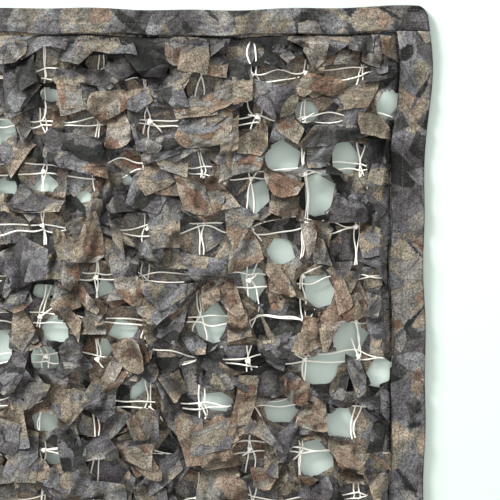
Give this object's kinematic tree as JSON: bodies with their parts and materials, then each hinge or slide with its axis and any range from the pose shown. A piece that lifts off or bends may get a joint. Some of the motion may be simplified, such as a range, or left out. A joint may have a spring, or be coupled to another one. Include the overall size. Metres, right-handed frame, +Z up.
{
  "type": "camouflage net",
  "caption": "Leaf-cut camouflage net lying flat: printed garnish cloth gathered on a cord mesh, bound by folded cloth bands on its four edges.",
  "frame": {"origin": "centre of the net's box, on the surface that it lies on", "axes": "+Y along the net's longer side, towards the end band at the top; +X towards the right band; +Z up out of the garnished face"},
  "size_m": [0.8421, 1.005, 0.0239],
  "materials": {
    "garnish": "matt printed polyester, bark-like mix of grey, brown and charcoal",
    "band": "the same printed polyester, folded flat and stitched",
    "cord": "cream twisted polyester cord",
    "thread": "grey-brown sewing thread"
  },
  "bodies": {
    "root": {"garnish_cloth": "garnish", "band_top": "band", "band_bottom": "band", "band_left": "band", "band_right": "band"}
  },
  "joints": []
}
